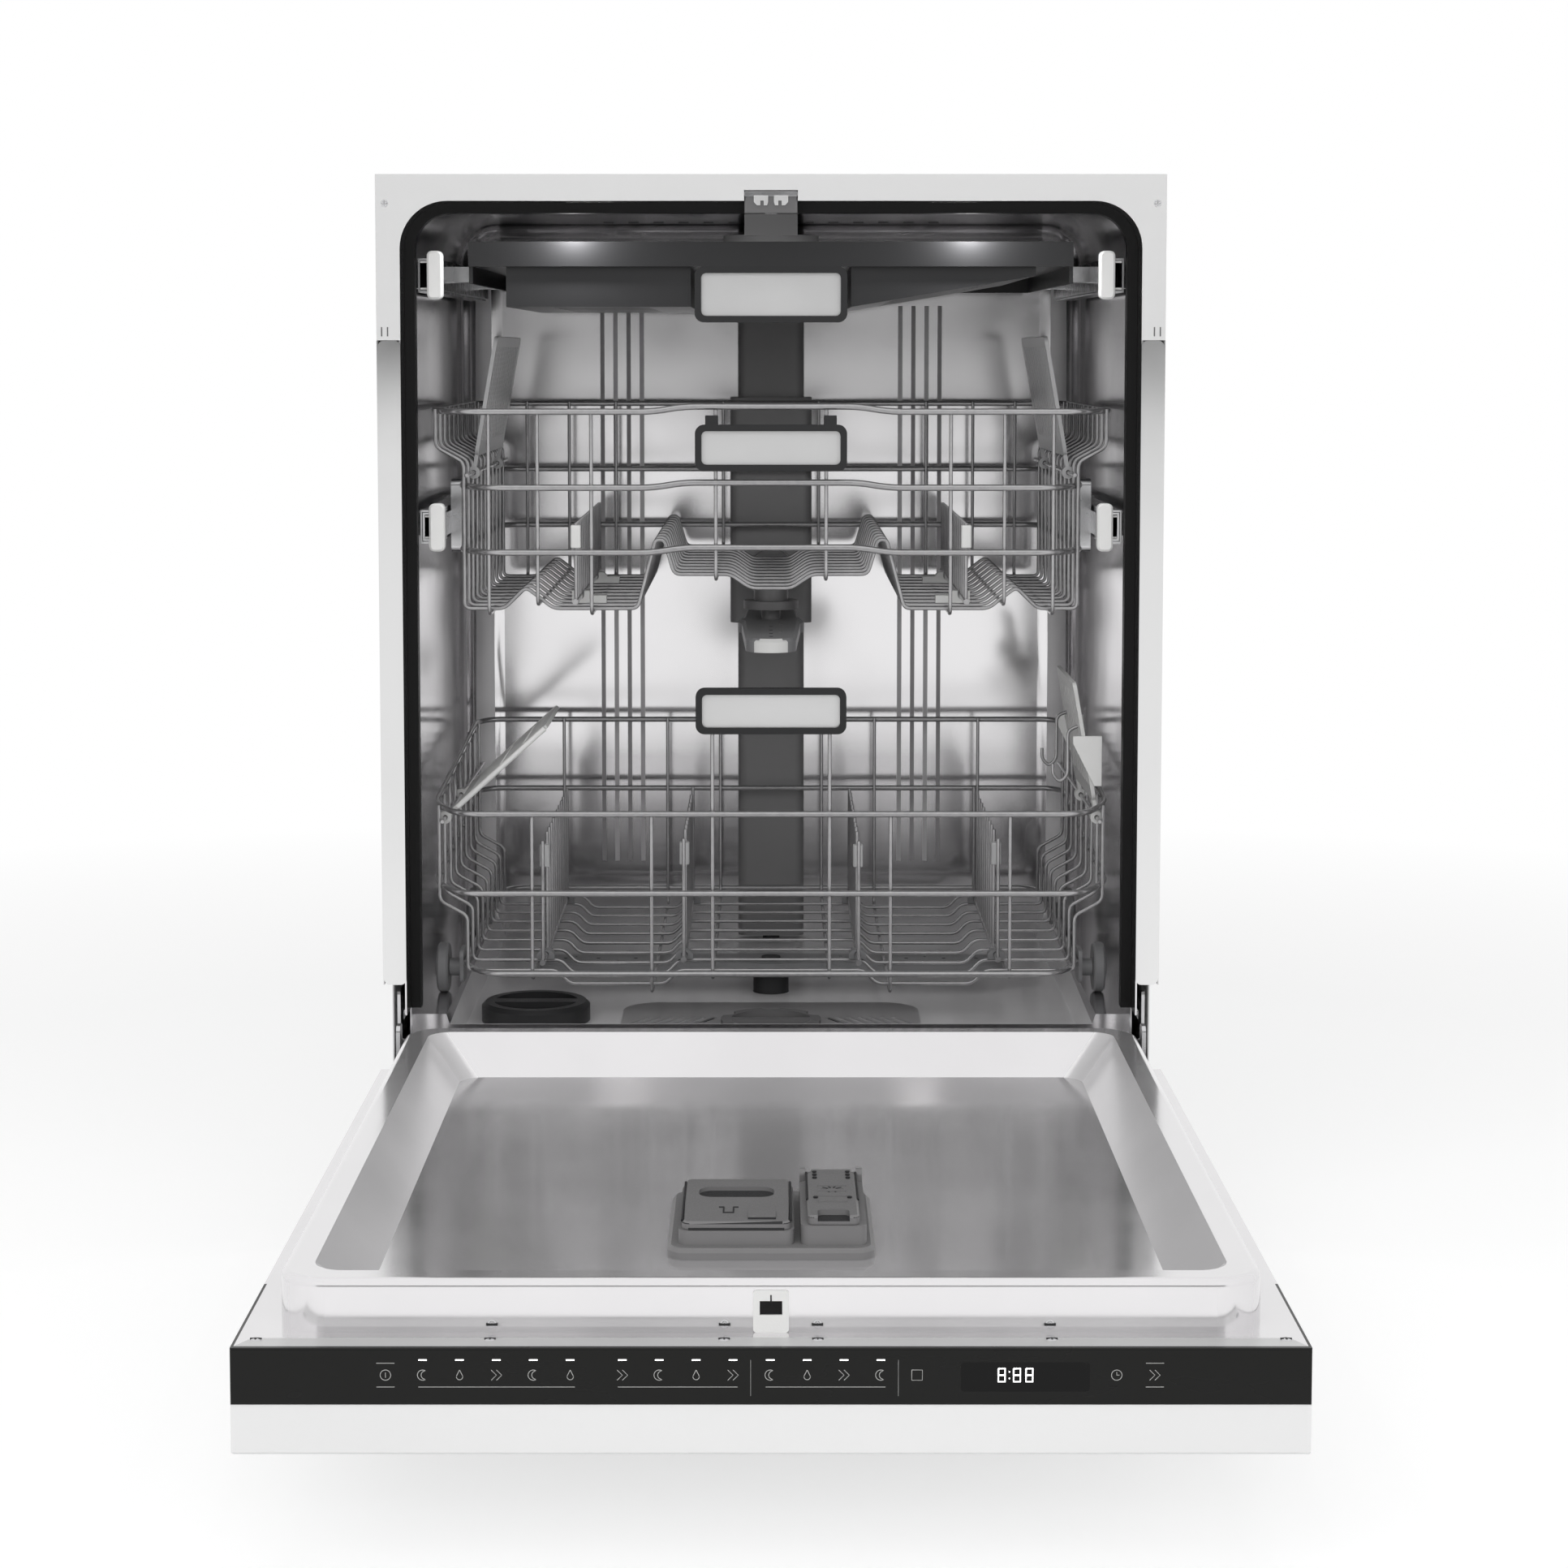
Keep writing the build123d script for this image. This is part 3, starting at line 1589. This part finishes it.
def upper_feed_pipe():
    dock = tub_back - duct_depth - ring_depth - running_gap
    pipe = bar_y(0, upper_arm_y, dock - 1, feed_pipe_z, feed_pipe_radius)
    pipe += bar_y(0, dock - feed_flange, dock, feed_pipe_z, dock_ring - 1)
    spout = feed_pipe_radius + feed_spout_wall
    pipe += upright(0, upper_arm_y, feed_spout_bottom, feed_pipe_z, spout)
    collar_top = feed_spout_bottom + feed_collar
    pipe += upright(0, upper_arm_y, feed_spout_bottom, collar_top, arm_width / 2 - spindle_rise)
    pipe += Pos(0, upper_arm_y, feed_pipe_z) * Sphere(feed_pipe_radius)
    spindle_bottom = upper_arm_top - upper_arm_height - spindle_rise
    pipe += upright(0, upper_arm_y, spindle_bottom, feed_spout_bottom + 1, spindle_radius)
    under_wires = upper_floor + upper_wave[0][1] - basket_wire / 2
    wide, deep = feed_post
    for index in feed_post_index:
        y = upper_cross_places()[index]
        pipe += block(-wide, wide, y - deep, y + deep, feed_pipe_z, under_wires)
    return pipe


def upper_spray_arm():
    bottom = upper_arm_top - upper_arm_height
    arm = spray_arm(upper_arm_reach, bottom, upper_arm_height, spindle_radius + running_gap)
    return Pos(0, upper_arm_y) * arm


# Fold-down shelves


def shelf(reach, tilt, axis_x, axis_z, places, first, last):
    """Slotted shelf on the left side, hung on its hinge wire by rings and tilted up."""
    lug_places = [(places[i] + places[i + 1]) / 2 for i in (first, last)]
    start = min(lug_places) - shelf_lug
    end = max(lug_places) + shelf_lug
    plate = slab_z(
        rounded(shelf_start, reach, start, end, shelf_corner),
        shelf_lift,
        shelf_lift + shelf_thickness,
    )
    count = int((end - start - 2 * shelf_slot) / (3 * shelf_slot))
    for step in range(count):
        y = start + 2 * shelf_slot + 3 * shelf_slot * step
        plate -= block(
            shelf_start + shelf_slot_start,
            reach - shelf_border,
            y,
            y + shelf_slot,
            shelf_lift - 1,
            shelf_lift + shelf_thickness + 1,
        )
    for y in lug_places:
        y0 = y - shelf_lug / 2
        y1 = y + shelf_lug / 2
        plate += bar_y(0, y0, y1, 0, shelf_ring)
        plate += block(0, shelf_start + 2, y0, y1, shelf_lift, shelf_lift + shelf_thickness)
    bore = basket_wire / 2 * hex_corner + shelf_ring_play
    plate -= bar_y(0, start - 1, end + 1, 0, bore)
    return Pos(-axis_x, 0, axis_z) * Rot(0, -tilt, 0) * plate


def lower_shelf(tilt):
    axis_x = hinge_wire_x(rack_half)
    places = lower_cross_places()
    return shelf(lower_shelf_reach, tilt, axis_x, lower_hinge_z, places, *lower_shelf_index)


def cup_shelf():
    axis_x = hinge_wire_x(rack_foot_half)
    places = upper_cross_places()
    return shelf(cup_shelf_reach, folded_tilt, axis_x, upper_hinge_z, places, *cup_shelf_index)


# Rails and cutlery tray


def channel(x0, x1, y0, y1, middle, height, web_outside):
    """C-shaped rail whose web is on its outer or its inner side."""
    rail = block(x0, x1, y0, y1, middle - height / 2, middle + height / 2)
    lip = height / 2 - rail_wall
    start = x0 - 1 if web_outside else x0 + rail_wall
    end = x1 - rail_wall if web_outside else x1 + 1
    return rail - block(start, end, y0 - 1, y1 + 1, middle - lip, middle + lip)


def rail_channels():
    solids = []
    for middle in (upper_rail_z, tray_rail_z):
        rail = channel(
            rail_open, rail_back, rail_front, rail_front + rail_length, middle, rail_height, True
        )
        low = middle - rail_foot_half
        high = middle + rail_foot_half
        ends = (rail_front + rail_foot_ends[0], rail_front + rail_length - rail_foot_ends[1])
        for y in ends:
            rail += block(rail_back - 1, tub_half, y, y + rail_foot_length, low, high)
        solids += both(rail)
    return solids


def upper_mid_rails():
    step = rail_wall + rail_play
    rail = channel(
        rail_open,
        rail_back - step,
        rail_front,
        rail_front + rail_length,
        upper_rail_z,
        rail_height - 2 * step,
        True,
    )
    return both(rail)


def rail_cap(middle):
    cap_x = rail_open
    cap = slab_y(
        rounded(
            cap_x - rail_cap_half,
            cap_x + rail_cap_half,
            middle - rail_cap_height / 2,
            middle + rail_cap_height / 2,
            rail_cap_corner,
        ),
        rail_front - rail_cap_depth - rail_cap_gap,
        rail_front - rail_cap_gap,
    )
    return chamfer(cap.edges().group_by(Axis.Y)[0], rail_cap_bevel)


def upper_slides():
    step = 2 * (rail_wall + rail_play)
    web = rail_open - rail_wall - rail_play
    rail = channel(
        web,
        rail_back - step,
        rail_front - rail_cap_gap,
        rail_front + rail_length,
        upper_rail_z,
        rail_height - 2 * step,
        False,
    )
    seat = rack_foot_half + rim_wire / 2
    low = upper_rims[0] - carrier_lap
    high = upper_rims[1] + carrier_lap
    solids = both(rail) + both(rail_cap(upper_rail_z))
    for y in (rack_front + carrier_ends[0], rack_back - carrier_ends[1]):
        outline = rounded(y, y + carrier_length, low, high, carrier_corner)
        solids += both(slab_x(outline, seat, web))
    return solids


def tray_slides():
    step = rail_wall + rail_play
    web = rail_open - rail_wall - rail_play
    rail = channel(
        web,
        rail_back - step,
        rail_front - rail_cap_gap,
        rail_front + rail_length,
        tray_rail_z,
        rail_height - 2 * step,
        False,
    )
    solids = both(rail) + both(rail_cap(tray_rail_z))
    low = tray_rail_z - hanger_drop
    high = tray_rail_z + hanger_rise
    for y in (tray_front + hanger_ends[0], tray_front + tray_length - hanger_ends[1]):
        solids += both(block(tray_half, web, y, y + hanger_length, low, high))
    return solids


def cutlery_tray():
    back = tray_front + tray_length
    wall = tray_wall
    tray = block(-tray_half, tray_half, tray_front, back, tray_rail_z - tray_skirt, tray_top)
    tray -= block(
        wall - tray_half,
        tray_half - wall,
        tray_front + wall,
        back - wall,
        tray_base + tray_floor,
        tray_top + 1,
    )
    bottom = tray_rail_z - tray_skirt - 1
    inner = tray_half - wall
    tray -= block(-inner, inner, tray_front + wall, back - wall, bottom, tray_base)
    outer = tray_half + 1
    tray -= block(-outer, outer, tray_front - 1, tray_front + wall + 1, bottom, tray_base)
    near, far = tray_bay
    low = tray_base - tray_bay_drop
    slant = low + tray_bay_rise
    bay_front = tray_front + 2 * wall
    bay_back = back - 2 * wall
    for x0, z0, x1, z1 in ((-far, low, -near, low), (near, low, far, slant)):
        tray += slab_y(
            polygon((x0, z0), (x1, z1), (x1, tray_base + 1), (x0, tray_base + 1)),
            bay_front,
            bay_back,
        )
        mouth = tray_base + tray_floor + 1
        thin = tray_floor
        tray -= slab_y(
            polygon(
                (x0 + thin, z0 + thin), (x1 - thin, z1 + thin), (x1 - thin, mouth), (x0 + thin, mouth)
            ),
            bay_front + wall,
            bay_back - wall,
        )
    slot = Rectangle(*tray_slot)
    pitch = (tray_length - 2 * tray_slot_margin) / (tray_slot_rows - 1)
    middle = (near + far) / 2
    for row in range(tray_slot_rows):
        y = tray_front + tray_slot_margin + pitch * row
        for x in (-middle, 0, middle):
            tray -= slab_z(Pos(x, y) * slot, low - tray_floor, tray_base + tray_floor + 1)
    return tray


NODES = {
    "base_tray": base_tray,
    "levelling_feet": levelling_feet,
    "tub": tub,
    "tub_seal": tub_seal,
    "top_frame": top_frame,
    "side_panel_left": lambda: mirrored(side_panel()),
    "side_panel_right": side_panel,
    "rear_panel": rear_panel,
    "top_cover": top_cover,
    "latch_housing": latch_housing,
    "latch_bolt": latch_bolt,
    "interior_lamps": interior_lamps,
    "sump": sump,
    "circulation_pump": circulation_pump,
    "drain_pump": drain_pump,
    "softener_tank": softener_tank,
    "salt_cap": salt_cap,
    "inlet_valve": inlet_valve,
    "flat_filter": flat_filter,
    "filter_cylinder": filter_cylinder,
    "lower_spray_arm": lower_spray_arm,
    "feed_duct": feed_duct,
    "hinge_brackets": hinge_brackets,
    "door_springs": door_springs,
    "rail_channels": rail_channels,
    "door_shell_panel": door_shell_panel,
    "door_inner_liner": door_inner_liner,
    "latch_plate": latch_plate,
    "control_panel": control_panel,
    "display_window": display_window,
    "decor_panel": decor_panel,
    "hinge_arms": hinge_arms,
    "dispenser_body": dispenser_body,
    "dispenser_lid": dispenser_lid,
    "rinse_aid_flap": rinse_aid_flap,
    "lower_basket": lower_basket,
    "lower_handle": lower_handle,
    "lower_clips": lower_clips,
    "lower_tine_row_1": lambda: lower_tine_row(0),
    "lower_tine_row_2": lambda: lower_tine_row(1),
    "lower_tine_row_3": lambda: lower_tine_row(2),
    "lower_tine_row_4": lambda: lower_tine_row(3),
    "lower_shelf_left": lambda: lower_shelf(lower_shelf_tilt),
    "lower_shelf_right": lambda: mirrored(lower_shelf(folded_tilt)),
    "lower_front_wheels": lambda: wheels(wheel_places[0]),
    "lower_rear_wheels": lambda: wheels(wheel_places[1]),
    "upper_basket": upper_basket,
    "upper_handle": upper_handle,
    "upper_clips": upper_clips,
    "upper_comb_left": lambda: upper_comb(-1),
    "upper_comb_right": lambda: upper_comb(1),
    "cup_shelf_left": cup_shelf,
    "cup_shelf_right": lambda: mirrored(cup_shelf()),
    "upper_feed_pipe": upper_feed_pipe,
    "upper_spray_arm": upper_spray_arm,
    "upper_slides": upper_slides,
    "upper_mid_rails": upper_mid_rails,
    "cutlery_tray": cutlery_tray,
    "tray_handle": tray_handle,
    "tray_slides": tray_slides,
}

os.makedirs("parts", exist_ok=True)
for name, make in NODES.items():
    shape = make()
    pieces = shape if isinstance(shape, list) else [shape]
    solids = [solid for piece in pieces for solid in piece.solids()]
    export_step(Compound(children=solids), f"parts/{name}.step")
